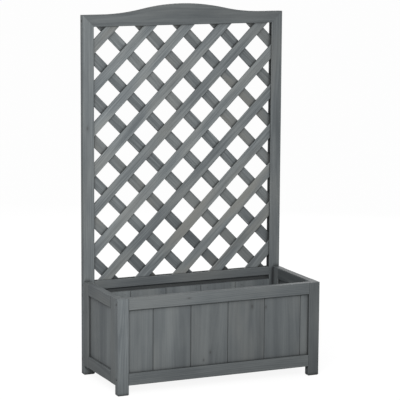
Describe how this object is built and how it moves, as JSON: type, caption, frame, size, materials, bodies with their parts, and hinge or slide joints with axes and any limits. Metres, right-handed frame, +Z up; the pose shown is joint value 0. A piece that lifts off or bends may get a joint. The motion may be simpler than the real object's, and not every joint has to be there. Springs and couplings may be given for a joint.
{
  "type": "planter with trellis",
  "caption": "Stained wooden floor planter: boarded trough on short feet, with full-height rear posts carrying a diagonal lattice trellis under an arched top rail.",
  "frame": {"origin": "middle of the footprint, on the floor", "axes": "+X to the right seen from the front, +Y from the front legs towards the trellis, +Z up"},
  "size_m": [0.6, 0.27, 1.0199],
  "materials": {
    "frame_wood": "grey water-based stain on sawn softwood, satin, grain showing",
    "board_wood": "grey stain on tongued and grooved softwood boards, matt, knots showing",
    "slat_wood": "grey stain on thin sawn laths, matt",
    "screw_steel": "zinc plated, dulled"
  },
  "bodies": {
    "root": {"arched_top_rail": "frame_wood", "back_board_1": "board_wood", "back_board_2": "board_wood", "back_board_3": "board_wood", "back_board_4": "board_wood", "back_board_5": "board_wood", "back_lower_batten": "frame_wood", "back_upper_batten": "frame_wood", "floor_board_1": "board_wood", "floor_board_2": "board_wood", "frame_screws": "screw_steel", "front_board_1": "board_wood", "front_board_2": "board_wood", "front_board_3": "board_wood", "front_board_4": "board_wood", "front_board_5": "board_wood", "front_board_6": "board_wood", "front_bottom_rail": "frame_wood", "front_slat_01": "slat_wood", "front_slat_02": "slat_wood", "front_slat_03": "slat_wood", "front_slat_04": "slat_wood", "front_slat_05": "slat_wood", "front_slat_06": "slat_wood", "front_slat_07": "slat_wood", "front_slat_08": "slat_wood", "front_slat_09": "slat_wood", "front_slat_10": "slat_wood", "front_slat_11": "slat_wood", "front_top_rail": "frame_wood", "left_floor_ledger": "board_wood", "left_front_leg": "frame_wood", "left_front_stile": "frame_wood", "left_post": "frame_wood", "left_rear_stile": "frame_wood", "left_side_board_1": "board_wood", "left_side_board_2": "board_wood", "left_side_bottom_rail": "frame_wood", "left_side_top_rail": "frame_wood", "rear_slat_01": "slat_wood", "rear_slat_02": "slat_wood", "rear_slat_03": "slat_wood", "rear_slat_04": "slat_wood", "rear_slat_05": "slat_wood", "rear_slat_06": "slat_wood", "rear_slat_07": "slat_wood", "rear_slat_08": "slat_wood", "rear_slat_09": "slat_wood", "rear_slat_10": "slat_wood", "rear_slat_11": "slat_wood", "right_floor_ledger": "board_wood", "right_front_leg": "frame_wood", "right_front_stile": "frame_wood", "right_post": "frame_wood", "right_rear_stile": "frame_wood", "right_side_board_1": "board_wood", "right_side_board_2": "board_wood", "right_side_bottom_rail": "frame_wood", "right_side_top_rail": "frame_wood", "trellis_bottom_rail": "frame_wood"}
  },
  "joints": []
}
